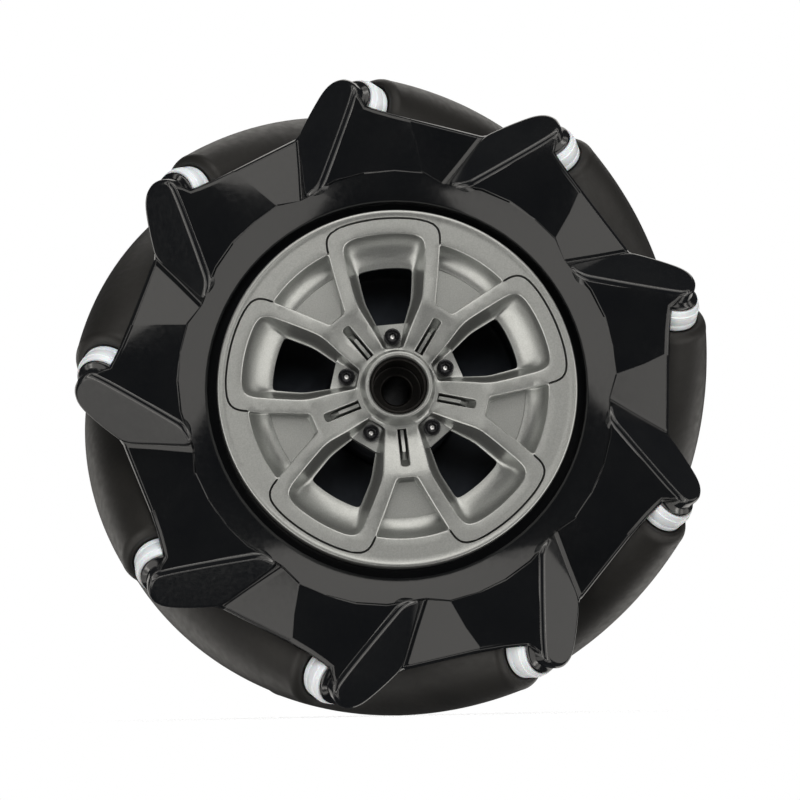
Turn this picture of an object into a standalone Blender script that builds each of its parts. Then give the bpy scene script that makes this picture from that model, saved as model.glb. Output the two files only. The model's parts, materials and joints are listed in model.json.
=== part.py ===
"""Mecanum wheel, 8 inch class: nine free rollers at 45 degrees between two star-shaped shells,
a spoked silver cover in front, a black drum in the middle and a shaft coupling through it.

Frame: the origin is the wheel's centre and the wheel turns about Y. The front, with the silver
cover, faces -Y, and +Z is up. The wheel stands on roller 1, so the ground is at z = -WHEEL_RADIUS.
Angles are measured from +X towards +Z, anticlockwise as seen from the front.
Inside an arm, angles are measured from the centre of the roller that the arm carries.
"""

import math

import bmesh
import bpy
from mathutils import Matrix, Vector

MM = 0.001
FIT_GAP = 0.3 * MM                  # clearance between pieces that touch

# Wheel
WHEEL_RADIUS = 101.6 * MM           # over the rollers
ROLLER_COUNT = 9
ROLLER_PITCH = 360.0 / ROLLER_COUNT
BOTTOM = 270.0                      # roller 1 touches the ground
HALF_WIDTH = 53.5 * MM              # from the wheel's centre to the end of either hub

# Rollers: distances along a roller are measured from its middle
ROLLER_TILT = math.radians(45.0)
ROLLER_CENTRE = 0.803 * WHEEL_RADIUS
TYRE_HALF = 54.0 * MM
TYRE_BORE = 7.6 * MM
TYRE_END_RADIUS = 10.2 * MM
TYRE_SEGMENTS = 16
TYRE_STATIONS = (0.0, 19.0 * MM, 37.0 * MM, 50.5 * MM)
CORE_RADIUS = TYRE_BORE - FIT_GAP
CORE_BORE = 5.5 * MM
CORE_HALF = 59.8 * MM
COLLAR_RADIUS = 9.0 * MM
COLLAR_CHAMFER = 1.0 * MM
BEARING_RADIUS = CORE_BORE - FIT_GAP
BEARING_WIDTH = 4.0 * MM
AXLE_RADIUS = 2.5 * MM
AXLE_HALF = 64.2 * MM
SMALL_SEGMENTS = 12

# Shells: depths are measured from the wheel's centre towards the front
RING_INNER = 59.4 * MM
RING_DEPTH = 47.8 * MM
RING_BACK_DEPTH = 45.2 * MM
SKIRT_OUTER = 62.4 * MM
FLANGE_INNER = 43.0 * MM
FLANGE_FRONT = 38.0 * MM
FLANGE_BACK = 34.0 * MM
STEP_RUN = 1.2 * MM
SKIN = 2.2 * MM
GUTTER_SKIN = 3.0 * MM
LUG_OUTER = 67.0 * MM               # faces of the tilted lug, measured along the roller
LUG_INNER = 61.0 * MM
BOSS_RADIUS = 5.0 * MM
BOSS_START = 60.6 * MM
BOSS_END = 65.3 * MM
PIN_HOLE_RADIUS = 2.8 * MM
PIN_HOLE_END = 64.6 * MM

# One arm, as columns from its first crease to the gutter before the next arm. Each column has an
# outer, a middle and an inner point: angle in degrees, radius as a part of the wheel's radius,
# and depth in millimetres. Points without a depth lie on the lug's tilted outer face.
ON_LUG = None
ARM_COLUMNS = (
    ((16.5, 0.848, 48.3), (14.4, 0.762, 48.6), (12.5, 0.675, 48.9)),
    ((21.0, 0.864, 50.2), (20.5, 0.770, 49.9), (20.0, 0.677, 49.6)),
    ((24.5, 0.885, 51.0), (25.5, 0.780, 50.7), (28.0, 0.677, 50.2)),
    ((26.7, 0.912, 51.1), (29.0, 0.790, 51.0), (34.0, 0.674, 50.6)),
    ((27.9, 0.945, 49.5), (31.3, 0.795, 51.1), (38.0, 0.668, 50.7)),
    ((29.5, 0.963, ON_LUG), (32.8, 0.790, ON_LUG), (42.0, 0.658, ON_LUG)),
    ((32.7, 0.950, ON_LUG), (37.0, 0.776, ON_LUG), (44.0, 0.656, ON_LUG)),
    ((40.5, 0.864, ON_LUG), (43.0, 0.758, ON_LUG), (46.5, 0.655, ON_LUG)),
)
GUTTER = len(ARM_COLUMNS) - 1

# Cover: radii are parts of the wheel's radius where they end in _R
SPOKES = 5
SPOKE_PITCH = 360.0 / SPOKES
WINDOW_ANGLE = 22.6
STEM_ANGLE = WINDOW_ANGLE + SPOKE_PITCH / 2
COVER_BACK = 38.3 * MM
COVER_FACE = 47.9 * MM
COVER_CREST = 48.6 * MM
COVER_RADIUS = 56.3 * MM
CREST_RADIUS = 27.1 * MM
STEM_FOOT_RADIUS = 11.8 * MM
STEM_FOOT_DEPTH = 45.0 * MM
COVER_BORE = 9.0 * MM
WINDOW_TOP_R = 0.479
WINDOW_FLOOR_R = 0.385
VALLEY_TOP_R = 0.464
VALLEY_FLOOR_R = 0.400
VALLEY_DEPTH = 41.5 * MM
PAD_DEPTH = 43.0 * MM
SLOT_WIDTH = 2.9 * MM
SLOT_DEPTH = 1.6 * MM
SLOT_INNER = 12.6 * MM
SLOT_OUTER = 24.9 * MM

# Drum, coupling and fasteners
DRUM_RADIUS = 56.0 * MM
DRUM_HALF = 33.7 * MM
DRUM_RIM_INNER = 42.0 * MM
DRUM_FLOOR = 6.0 * MM               # depth of the floor of the front recess
DRUM_BOSS = 22.5 * MM
DRUM_BOSS_HALF = 38.0 * MM
DRUM_BORE = 9.0 * MM
COVER_SEGMENTS = 48
ROUND_SEGMENTS = 36
SLEEVE_RADIUS = DRUM_BORE - FIT_GAP
SLEEVE_FRONT = 51.5 * MM
CUP_RADIUS = 7.9 * MM
CUP_FLOOR = 38.0 * MM
SHAFT_RADIUS = 4.4 * MM
PLATE_RADIUS = 54.0 * MM
PLATE_INNER = DRUM_BOSS_HALF + FIT_GAP
PLATE_OUTER = 43.0 * MM
REAR_HUB_RADIUS = 16.0 * MM
PLATE_GROOVE_INNER = 24.0 * MM
PLATE_GROOVE_OUTER = 42.0 * MM
PLATE_GROOVE_DEPTH = 1.2 * MM
BOLT_CIRCLE = 49.0 * MM
BOLT_ANGLE = 90.0
BOLT_RADIUS = 2.0 * MM
BOLT_HEAD_RADIUS = 3.4 * MM
BOLT_HEAD = 3.0 * MM
BOLT_TIP = 37.4 * MM
SCREW_CIRCLE = 0.161 * WHEEL_RADIUS
SCREW_RADIUS = 1.5 * MM
SCREW_HEAD_RADIUS = 2.6 * MM
SCREW_HEAD = 2.6 * MM
SCREW_LENGTH = 13.0 * MM
SOCKET_DEPTH = 1.4 * MM
SOCKET_SHARE = 0.55                 # hexagon's corner radius as a part of the head's radius


# ---------------------------------------------------------------- small tools

def clear_scene():
    for obj in list(bpy.data.objects):
        bpy.data.objects.remove(obj, do_unlink=True)


def make_material(name, colour, roughness, metallic=0.0):
    mat = bpy.data.materials.new(name)
    mat.use_nodes = True
    shader = mat.node_tree.nodes["Principled BSDF"]
    shader.inputs["Base Color"].default_value = (*colour, 1.0)
    shader.inputs["Roughness"].default_value = roughness
    shader.inputs["Metallic"].default_value = metallic
    return mat


def polar(angle, radius, depth):
    """A point at an angle in degrees and a radius, a depth towards the front from the middle."""
    turn = math.radians(angle)
    return Vector((radius * math.cos(turn), -depth, radius * math.sin(turn)))


def finish_mesh(name, bm, smooth_angle=35.0):
    """Turns a closed bmesh into a mesh whose faces point out and whose round faces are smooth."""
    bmesh.ops.recalc_face_normals(bm, faces=bm.faces)
    mesh = bpy.data.meshes.new(name)
    bm.to_mesh(mesh)
    bm.free()
    mesh.shade_smooth()
    mesh.set_sharp_from_angle(angle=math.radians(smooth_angle))
    return mesh


def place(name, mesh, mat, parent=None, matrix=None):
    """An object showing a mesh; copies of one piece share their mesh."""
    if not mesh.materials:
        mesh.materials.append(mat)
    obj = bpy.data.objects.new(name, mesh)
    bpy.context.collection.objects.link(obj)
    obj.parent = parent
    if matrix is not None:
        obj.matrix_local = matrix
    return obj


def add_rings(bm, rings, closed):
    """Joins rings of points with quads, and caps the ends or closes the last ring to the first."""
    rows = [[bm.verts.new(point) for point in ring] for ring in rings]
    count = len(rows[0])
    for index in range(len(rows) if closed else len(rows) - 1):
        here = rows[index]
        there = rows[(index + 1) % len(rows)]
        for j in range(count):
            k = (j + 1) % count
            bm.faces.new((here[j], here[k], there[k], there[j]))
    if not closed:
        bm.faces.new(rows[0])
        bm.faces.new(rows[-1])


def turned(name, profile, segments, closed=True):
    """A body turned about the local Z axis from (radius, height) points."""
    bm = bmesh.new()
    steps = [2 * math.pi * j / segments for j in range(segments)]
    rings = [[(r * math.cos(a), r * math.sin(a), z) for a in steps] for r, z in profile]
    add_rings(bm, rings, closed)
    return finish_mesh(name, bm)


def both_ends(points):
    """An outline's points from the middle outwards, mirrored to run from one end to the other."""
    low = [(r, -z) for r, z in reversed(points) if z > 0]
    return low + list(points)


def cutter(name, bm):
    """A guide body for a Boolean: it isn't a piece of the wheel."""
    obj = bpy.data.objects.new(name, finish_mesh(name, bm))
    bpy.context.collection.objects.link(obj)
    obj.hide_render = True
    obj.display_type = "WIRE"
    return obj


def combine(obj, tool, operation="DIFFERENCE"):
    step = obj.modifiers.new(tool.name, "BOOLEAN")
    step.operation = operation
    step.solver = "EXACT"
    step.object = tool


def add_rod(bm, start, end, radius, segments=SMALL_SEGMENTS):
    """A round rod between two points."""
    axis = (end - start).normalized()
    side = axis.orthogonal().normalized()
    other = axis.cross(side)
    rings = []
    for point in (start, end):
        ring = []
        for j in range(segments):
            turn = 2 * math.pi * j / segments
            ring.append(point + radius * (math.cos(turn) * side + math.sin(turn) * other))
        rings.append(ring)
    add_rings(bm, rings, closed=False)


# The lathe turns about local Z: this stands a turned piece on the wheel's axis, with +Z forwards.
FORWARDS = Matrix.Rotation(math.radians(90.0), 4, "X")
# A half turn about Z makes a front piece into its rear twin.
HALF_TURN = Matrix.Rotation(math.pi, 4, "Z")


# ---------------------------------------------------------------- rollers

def roller_frame(angle):
    """Stands at a roller's middle: local Z runs towards its front end, local X points outwards."""
    turn = math.radians(angle)
    outwards = Vector((math.cos(turn), 0.0, math.sin(turn)))
    around = Vector((-math.sin(turn), 0.0, math.cos(turn)))
    forwards = Vector((0.0, -1.0, 0.0))
    along = around * math.sin(ROLLER_TILT) + forwards * math.cos(ROLLER_TILT)
    across = along.cross(outwards)
    frame = Matrix((outwards, across, along)).transposed().to_4x4()
    frame.translation = outwards * ROLLER_CENTRE
    return frame


def barrel_radius(station):
    """Radius of a roller at a distance along it, so that all rollers together make a circle.

    A roller touches the wheel's outer circle at a contact angle from its middle. The station
    grows steadily with that angle, so the angle is found by halving.
    """
    low, high = 0.0, math.radians(35.0)
    for _ in range(40):
        contact = (low + high) / 2
        shift = (ROLLER_CENTRE * math.tan(contact) + WHEEL_RADIUS * math.sin(contact)) / 2
        if shift * math.sqrt(2) < station:
            low = contact
        else:
            high = contact
    gap = WHEEL_RADIUS - shift * math.sin(contact) - ROLLER_CENTRE * math.cos(contact)
    return gap / math.sqrt(1 - math.sin(contact) ** 2 / 2)


def roller_meshes():
    tread = [(barrel_radius(z), z) for z in TYRE_STATIONS] + [(TYRE_END_RADIUS, TYRE_HALF)]
    tyre = both_ends(tread) + [(TYRE_BORE, TYRE_HALF), (TYRE_BORE, -TYRE_HALF)]
    collar_in = TYRE_HALF + FIT_GAP
    outside = [
        (CORE_RADIUS, collar_in),
        (COLLAR_RADIUS, collar_in),
        (COLLAR_RADIUS - COLLAR_CHAMFER, CORE_HALF),
        (CORE_BORE, CORE_HALF),
    ]
    race = AXLE_RADIUS + FIT_GAP
    half = BEARING_WIDTH / 2
    bearing = [(race, -half), (BEARING_RADIUS, -half), (BEARING_RADIUS, half), (race, half)]
    return {
        "tyre": turned("tyre", tyre, TYRE_SEGMENTS),
        "core": turned("core", both_ends(outside), SMALL_SEGMENTS),
        "bearing": turned("bearing", bearing, SMALL_SEGMENTS),
        "axle": turned(
            "axle", [(AXLE_RADIUS, -AXLE_HALF), (AXLE_RADIUS, AXLE_HALF)], SMALL_SEGMENTS, False
        ),
    }


def build_rollers(mats):
    meshes = roller_meshes()
    bearing_seat = CORE_HALF - FIT_GAP - BEARING_WIDTH / 2
    for k in range(ROLLER_COUNT):
        number = k + 1
        hinge = bpy.data.objects.new(f"roller_{number}_hinge", None)
        bpy.context.collection.objects.link(hinge)
        hinge.matrix_world = roller_frame(BOTTOM + ROLLER_PITCH * k)
        place(f"roller_tyre_{number}", meshes["tyre"], mats["rubber"], hinge)
        place(f"roller_core_{number}", meshes["core"], mats["nylon"], hinge)
        place(f"roller_axle_{number}", meshes["axle"], mats["steel"], hinge)
        for end, sign in (("front", 1), ("rear", -1)):
            shift = Matrix.Translation((0, 0, sign * bearing_seat))
            name = f"roller_bearing_{end}_{number}"
            place(name, meshes["bearing"], mats["steel"], hinge, shift)


# ---------------------------------------------------------------- shells

def lug_depth(angle, radius, along_roller):
    """Depth of a plane that crosses the roller's axis squarely at a distance along the roller."""
    return along_roller / math.cos(ROLLER_TILT) - radius * math.sin(math.radians(angle))


def front_point(point):
    angle, share, depth = point
    radius = share * WHEEL_RADIUS
    if depth is ON_LUG:
        return angle, radius, lug_depth(angle, radius, LUG_OUTER)
    return angle, radius, depth * MM


def back_point(point, is_gutter):
    """The same place on the inside: a thin skin, or the lug's inner face where that lies deeper."""
    angle, radius, depth = front_point(point)
    if is_gutter:
        return angle, radius, depth - GUTTER_SKIN
    return angle, radius, min(depth - SKIN, lug_depth(angle, radius, LUG_INNER))


def shell_section(index, column):
    """Points around the shell's wall at one column, as (angle, radius, depth)."""
    outer, middle, inner = column
    even = 14.5 + ROLLER_PITCH * index / len(ARM_COLUMNS)
    foot = front_point(inner)
    is_gutter = index == GUTTER
    return [
        (even, FLANGE_INNER, FLANGE_FRONT),
        (even, RING_INNER, FLANGE_FRONT),
        (even, RING_INNER, RING_DEPTH),
        (foot[0], foot[1] - STEP_RUN, RING_DEPTH),
        foot,
        front_point(middle),
        front_point(outer),
        back_point(outer, is_gutter),
        back_point(middle, is_gutter),
        (even, SKIRT_OUTER, RING_BACK_DEPTH),
        (even, SKIRT_OUTER, FLANGE_BACK),
        (even, FLANGE_INNER, FLANGE_BACK),
    ]


def shell_mesh():
    columns = []
    for k in range(ROLLER_COUNT):
        centre = BOTTOM + ROLLER_PITCH * k
        for index, column in enumerate(ARM_COLUMNS):
            section = shell_section(index, column)
            columns.append([polar(centre + a, r, depth) for a, r, depth in section])
    bm = bmesh.new()
    add_rings(bm, columns, closed=True)
    bmesh.ops.triangulate(bm, faces=bm.faces)
    return finish_mesh("shell", bm, smooth_angle=20.0)


def rods_along_rollers(name, start, end, radius, segments):
    bm = bmesh.new()
    for k in range(ROLLER_COUNT):
        frame = roller_frame(BOTTOM + ROLLER_PITCH * k)
        add_rod(bm, frame @ Vector((0, 0, start)), frame @ Vector((0, 0, end)), radius, segments)
    return cutter(name, bm)


def rods_through_wheel(name, count, first_angle, circle, front, back, radius, segments=10):
    bm = bmesh.new()
    for k in range(count):
        angle = first_angle + 360.0 / count * k
        add_rod(bm, polar(angle, circle, front), polar(angle, circle, back), radius, segments)
    return cutter(name, bm)


def build_shells(mats):
    mesh = shell_mesh()
    bosses = rods_along_rollers("cut_bosses", BOSS_START, BOSS_END, BOSS_RADIUS, 10)
    pin_holes = rods_along_rollers(
        "cut_pin_holes", BOSS_START - 1 * MM, PIN_HOLE_END, PIN_HOLE_RADIUS, 8
    )
    over = FLANGE_FRONT + 1 * MM
    under = FLANGE_BACK - 1 * MM
    hole = BOLT_RADIUS + FIT_GAP
    bolt_holes = rods_through_wheel(
        "cut_flange_holes", SPOKES, BOLT_ANGLE, BOLT_CIRCLE, over, under, hole
    )
    steps = ((bosses, "UNION"), (pin_holes, "DIFFERENCE"), (bolt_holes, "DIFFERENCE"))
    for name, matrix in (("front_shell", Matrix()), ("rear_shell", HALF_TURN)):
        shell = place(name, mesh, mats["gloss_black"], None, matrix)
        for tool, operation in steps:
            if name == "rear_shell":
                twin = bpy.data.objects.new(f"{tool.name}_rear", tool.data)
                bpy.context.collection.objects.link(twin)
                twin.hide_render = True
                twin.display_type = "WIRE"
                twin.matrix_world = HALF_TURN
                combine(shell, twin, operation)
            else:
                combine(shell, tool, operation)


# ---------------------------------------------------------------- cover

def arc(radius_share, half_angle, count):
    """Points on a circle, as (angle, share of the wheel's radius), from minus to plus."""
    last = count - 1
    return [(-half_angle + 2 * half_angle * j / last, radius_share) for j in range(count)]


def mirrored(points):
    """Adds the mirror image of points given on the plus side, to close an outline."""
    return points + [(-angle, share) for angle, share in reversed(points)]


def tapered_cutter(name, centre_angle, top, floor, top_depth, floor_depth, over, under):
    """Five lofted holes whose outline runs in a straight line from top to floor.

    over and under are how far the hole is carried past its top and its floor.
    """
    bm = bmesh.new()
    fall = top_depth - floor_depth
    for k in range(SPOKES):
        turn = centre_angle + SPOKE_PITCH * k
        upper = [polar(turn + a, s * WHEEL_RADIUS, top_depth) for a, s in top]
        lower = [polar(turn + a, s * WHEEL_RADIUS, floor_depth) for a, s in floor]
        rings = [
            [u + (u - v) * over / fall for u, v in zip(upper, lower)],
            [v + (v - u) * under / fall for u, v in zip(upper, lower)],
        ]
        add_rings(bm, rings, closed=False)
    return cutter(name, bm)


def window_cutter():
    top = arc(WINDOW_TOP_R, 13.0, 5) + mirrored([(15.2, 0.468), (20.8, 0.282), (18.4, 0.211)])
    floor = arc(WINDOW_FLOOR_R, 11.5, 5) + mirrored([(13.2, 0.380), (14.4, 0.287), (11.3, 0.205)])
    return tapered_cutter(
        "cut_windows", WINDOW_ANGLE, top, floor, COVER_CREST, COVER_BACK, 3 * MM, 1 * MM
    )


def pad_cutter():
    """The pockets between the stems, where the screws sit on pads."""
    top = mirrored([(18.6, 0.216), (11.0, 0.128)])
    floor = mirrored([(14.6, 0.216), (9.5, 0.131)])
    return tapered_cutter("cut_pads", WINDOW_ANGLE, top, floor, COVER_CREST, PAD_DEPTH, 3 * MM, 0)


def valley_cutter():
    """The closed pockets between two window frames."""
    top = arc(VALLEY_TOP_R, 13.6, 5) + mirrored([(5.9, 0.280)])
    floor = arc(VALLEY_FLOOR_R, 12.4, 5) + mirrored([(5.4, 0.286)])
    return tapered_cutter(
        "cut_valleys", STEM_ANGLE, top, floor, COVER_FACE, VALLEY_DEPTH, 2 * MM, 0
    )


def stem_depth(radius):
    """Depth of a stem's face, which slopes from the crest down to the hub."""
    share = (radius - STEM_FOOT_RADIUS) / (CREST_RADIUS - STEM_FOOT_RADIUS)
    return STEM_FOOT_DEPTH + share * (COVER_CREST - STEM_FOOT_DEPTH)


def slot_cutter():
    """A shallow slot along the middle of each stem, its floor parallel to the stem's face."""
    bm = bmesh.new()
    half = SLOT_WIDTH / 2
    for k in range(SPOKES):
        frame = Matrix.Rotation(-math.radians(STEM_ANGLE + SPOKE_PITCH * k), 4, "Y")
        rings = []
        for radius in (SLOT_INNER, SLOT_OUTER):
            floor = stem_depth(radius) - SLOT_DEPTH
            top = COVER_CREST + 2 * MM
            corners = ((-half, floor), (half, floor), (half, top), (-half, top))
            rings.append([frame @ Vector((radius, -depth, side)) for side, depth in corners])
        add_rings(bm, rings, closed=False)
    return cutter("cut_stem_slots", bm)


def build_cover(mats):
    profile = [
        (COVER_BORE, COVER_BACK),
        (COVER_RADIUS, COVER_BACK),
        (COVER_RADIUS, COVER_FACE - 0.5 * MM),
        (COVER_RADIUS - 0.6 * MM, COVER_FACE),
        (WINDOW_TOP_R * WHEEL_RADIUS, COVER_FACE),
        (CREST_RADIUS, COVER_CREST),
        (STEM_FOOT_RADIUS, STEM_FOOT_DEPTH),
        (STEM_FOOT_RADIUS - 0.4 * MM, HALF_WIDTH - 2.7 * MM),
        (STEM_FOOT_RADIUS - 1.4 * MM, HALF_WIDTH),
        (COVER_BORE + 0.5 * MM, HALF_WIDTH),
        (COVER_BORE, HALF_WIDTH - 0.5 * MM),
    ]
    mesh = turned("cover", profile, COVER_SEGMENTS)
    cover = place("wheel_cover", mesh, mats["silver"], None, FORWARDS)
    holes = rods_through_wheel(
        "cut_cover_holes", SPOKES, WINDOW_ANGLE, SCREW_CIRCLE, COVER_CREST, COVER_BACK - 1 * MM,
        SCREW_RADIUS + FIT_GAP,
    )
    for tool in (window_cutter(), pad_cutter(), valley_cutter(), slot_cutter(), holes):
        combine(cover, tool)


# ---------------------------------------------------------------- drum, coupling and fasteners

def build_drum(mats):
    profile = [
        (DRUM_BORE, DRUM_BOSS_HALF),
        (DRUM_BOSS, DRUM_BOSS_HALF),
        (DRUM_BOSS, DRUM_FLOOR),
        (DRUM_RIM_INNER, DRUM_FLOOR),
        (DRUM_RIM_INNER, DRUM_HALF),
        (DRUM_RADIUS, DRUM_HALF),
        (DRUM_RADIUS, -DRUM_HALF),
        (DRUM_BOSS, -DRUM_HALF),
        (DRUM_BOSS, -DRUM_BOSS_HALF),
        (DRUM_BORE, -DRUM_BOSS_HALF),
    ]
    mesh = turned("drum", profile, ROUND_SEGMENTS)
    drum = place("hub_body", mesh, mats["satin_black"], None, FORWARDS)
    past = 1 * MM
    bolt_holes = rods_through_wheel(
        "cut_drum_bolts", SPOKES, BOLT_ANGLE, BOLT_CIRCLE, DRUM_HALF + past, -DRUM_HALF - past,
        BOLT_RADIUS + FIT_GAP,
    )
    screw_end = PAD_DEPTH + FIT_GAP - SCREW_LENGTH
    screw_holes = rods_through_wheel(
        "cut_drum_screws", SPOKES, WINDOW_ANGLE, SCREW_CIRCLE, DRUM_BOSS_HALF + past,
        screw_end - past, SCREW_RADIUS + FIT_GAP,
    )
    combine(drum, bolt_holes)
    combine(drum, screw_holes)


def build_coupling(mats):
    profile = [
        (SHAFT_RADIUS, -HALF_WIDTH),
        (REAR_HUB_RADIUS - 1 * MM, -HALF_WIDTH),
        (REAR_HUB_RADIUS, -HALF_WIDTH + 1 * MM),
        (REAR_HUB_RADIUS, -PLATE_OUTER),
        (PLATE_GROOVE_INNER, -PLATE_OUTER),
        (PLATE_GROOVE_INNER, PLATE_GROOVE_DEPTH - PLATE_OUTER),
        (PLATE_GROOVE_OUTER, PLATE_GROOVE_DEPTH - PLATE_OUTER),
        (PLATE_GROOVE_OUTER, -PLATE_OUTER),
        (PLATE_RADIUS, -PLATE_OUTER),
        (PLATE_RADIUS, -PLATE_INNER),
        (SLEEVE_RADIUS, -PLATE_INNER),
        (SLEEVE_RADIUS, SLEEVE_FRONT),
        (CUP_RADIUS, SLEEVE_FRONT),
        (CUP_RADIUS, CUP_FLOOR),
        (SHAFT_RADIUS, CUP_FLOOR),
    ]
    mesh = turned("coupling", profile, ROUND_SEGMENTS)
    coupling = place("hub_coupling", mesh, mats["anodised"], None, FORWARDS)
    past = 1 * MM
    bolt_holes = rods_through_wheel(
        "cut_plate_bolts", SPOKES, BOLT_ANGLE, BOLT_CIRCLE, past - PLATE_INNER,
        -PLATE_OUTER - past, BOLT_RADIUS + FIT_GAP,
    )
    combine(coupling, bolt_holes)


def socket_screw(name, head_radius, head, shank_radius, shank):
    """A hexagon-socket cap screw along local Z: its head stands on z = 0 and its shank hangs below."""
    bm = bmesh.new()
    steps = [2 * math.pi * j / SMALL_SEGMENTS for j in range(SMALL_SEGMENTS)]
    socket = SOCKET_SHARE * head_radius

    def ring(radius, z):
        return [(radius * math.cos(a), radius * math.sin(a), z) for a in steps]

    def hexagon(z):
        flat = socket * math.cos(math.pi / 6)
        radii = [socket if j % 2 == 0 else flat for j in range(SMALL_SEGMENTS)]
        return [(r * math.cos(a), r * math.sin(a), z) for r, a in zip(radii, steps)]

    rings = [
        ring(shank_radius, -shank),
        ring(shank_radius, 0),
        ring(head_radius, 0),
        ring(head_radius, head),
        hexagon(head),
        hexagon(head - SOCKET_DEPTH),
    ]
    add_rings(bm, rings, closed=False)
    return finish_mesh(name, bm)


def build_fasteners(mats):
    screw = socket_screw("screw", SCREW_HEAD_RADIUS, SCREW_HEAD, SCREW_RADIUS, SCREW_LENGTH)
    seat = PLATE_OUTER + FIT_GAP
    bolt = socket_screw("bolt", BOLT_HEAD_RADIUS, BOLT_HEAD, BOLT_RADIUS, seat + BOLT_TIP)
    for k in range(SPOKES):
        number = k + 1
        spot = polar(WINDOW_ANGLE + SPOKE_PITCH * k, SCREW_CIRCLE, PAD_DEPTH + FIT_GAP)
        matrix = Matrix.Translation(spot) @ FORWARDS
        place(f"cover_screw_{number}", screw, mats["black_steel"], None, matrix)
        spot = polar(BOLT_ANGLE + SPOKE_PITCH * k, BOLT_CIRCLE, -seat)
        matrix = Matrix.Translation(spot) @ HALF_TURN @ FORWARDS
        place(f"tie_bolt_{number}", bolt, mats["black_steel"], None, matrix)


def main():
    clear_scene()
    mats = {
        "rubber": make_material("roller_rubber", (0.030, 0.028, 0.026), 0.55),
        "nylon": make_material("white_nylon", (0.80, 0.83, 0.87), 0.35),
        "steel": make_material("bright_steel", (0.60, 0.60, 0.60), 0.30, 1.0),
        "gloss_black": make_material("gloss_black", (0.010, 0.010, 0.012), 0.12),
        "satin_black": make_material("satin_black", (0.014, 0.014, 0.016), 0.45),
        "anodised": make_material("black_anodised", (0.020, 0.020, 0.020), 0.35, 0.6),
        "silver": make_material("satin_silver", (0.42, 0.42, 0.41), 0.38, 1.0),
        "black_steel": make_material("black_steel", (0.020, 0.020, 0.022), 0.30, 0.8),
    }
    build_shells(mats)
    build_cover(mats)
    build_drum(mats)
    build_coupling(mats)
    build_fasteners(mats)
    build_rollers(mats)
    bpy.context.view_layer.update()


main()
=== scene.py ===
"""Looks of a mecanum wheel: faceted gloss shells, a satin silver cover and nine rubber rollers.

The wheel's axle is the Y axis and the front faces -Y. Angles run from +X towards +Z. A depth is a
distance from the wheel's middle towards the front, and a share is a part of the wheel's radius.
"""

import json
import math

import bmesh
import bpy
import numpy as np
from mathutils import Matrix, Vector
from mathutils.geometry import delaunay_2d_cdt


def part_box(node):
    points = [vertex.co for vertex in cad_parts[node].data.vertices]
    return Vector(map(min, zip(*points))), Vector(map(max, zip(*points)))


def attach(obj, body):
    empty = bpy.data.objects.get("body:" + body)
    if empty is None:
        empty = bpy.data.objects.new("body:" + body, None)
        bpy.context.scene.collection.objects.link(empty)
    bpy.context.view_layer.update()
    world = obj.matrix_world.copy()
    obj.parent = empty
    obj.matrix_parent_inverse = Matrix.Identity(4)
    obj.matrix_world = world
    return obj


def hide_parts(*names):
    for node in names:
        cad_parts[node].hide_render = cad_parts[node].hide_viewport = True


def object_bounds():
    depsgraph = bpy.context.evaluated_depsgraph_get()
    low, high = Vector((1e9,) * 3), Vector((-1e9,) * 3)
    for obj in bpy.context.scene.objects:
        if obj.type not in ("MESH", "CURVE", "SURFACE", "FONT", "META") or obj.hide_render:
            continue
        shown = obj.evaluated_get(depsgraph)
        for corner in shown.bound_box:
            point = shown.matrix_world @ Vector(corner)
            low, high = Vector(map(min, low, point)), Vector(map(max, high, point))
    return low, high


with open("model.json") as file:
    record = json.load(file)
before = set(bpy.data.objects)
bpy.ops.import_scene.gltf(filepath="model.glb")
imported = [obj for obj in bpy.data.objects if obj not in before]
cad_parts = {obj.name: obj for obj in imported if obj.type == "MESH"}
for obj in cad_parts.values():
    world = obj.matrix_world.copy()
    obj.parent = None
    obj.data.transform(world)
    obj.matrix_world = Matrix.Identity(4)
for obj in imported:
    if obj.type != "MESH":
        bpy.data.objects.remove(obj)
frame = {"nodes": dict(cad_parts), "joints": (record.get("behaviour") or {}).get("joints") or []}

CAD_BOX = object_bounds()
MM = 0.001
R = -CAD_BOX[0].z                       # the wheel's radius
BODY = "wheel_frame"
ROLLERS = len(frame["joints"])
ROLLER_PITCH = 360.0 / ROLLERS
SPOKES = 5
SPOKE_PITCH = 360.0 / SPOKES
WINDOW_ANGLE = 22.6                     # of the middle of the first window
STEM_ANGLE = WINDOW_ANGLE + SPOKE_PITCH / 2
TILT = math.radians(45.0)               # between a roller's axis and the wheel's
CORNER_STEPS = 6                        # points at each corner of an outline
FREE = 99                               # a rounding that reaches half way to the next corner
BEVEL_SETTINGS = ("width", "segments", "limit_method", "harden_normals", "use_clamp_overlap")
HALF_TURN = Matrix.Rotation(math.pi, 4, "Z")
FORWARDS = Matrix.Rotation(math.radians(90.0), 4, "X")


# ---------------------------------------------------------------- meshes

def polar(angle, radius, depth):
    """A place given by its angle and radius around the axle and its depth."""
    turn = math.radians(angle)
    return Vector((radius * math.cos(turn), -depth, radius * math.sin(turn)))


def blend(low, high, share):
    return low + (high - low) * share


def ease(share):
    """Runs smoothly from 0 to 1."""
    share = min(max(share, 0.0), 1.0)
    return share * share * (3 - 2 * share)


def face_spot(angle, share):
    """A place on the wheel's face, seen from the front."""
    turn = math.radians(angle)
    return Vector((math.cos(turn), math.sin(turn))) * share * R


def to_object(name, bm, mat, smooth_angle=30.0):
    """Makes a piece of a mesh; edges sharper than smooth_angle, in degrees, stay sharp."""
    bmesh.ops.recalc_face_normals(bm, faces=bm.faces)
    mesh = bpy.data.meshes.new(name)
    bm.to_mesh(mesh)
    bm.free()
    mesh.shade_smooth()
    mesh.set_sharp_from_angle(angle=math.radians(smooth_angle))
    mesh.materials.append(mat)
    obj = bpy.data.objects.new(name, mesh)
    bpy.context.collection.objects.link(obj)
    return obj


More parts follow.
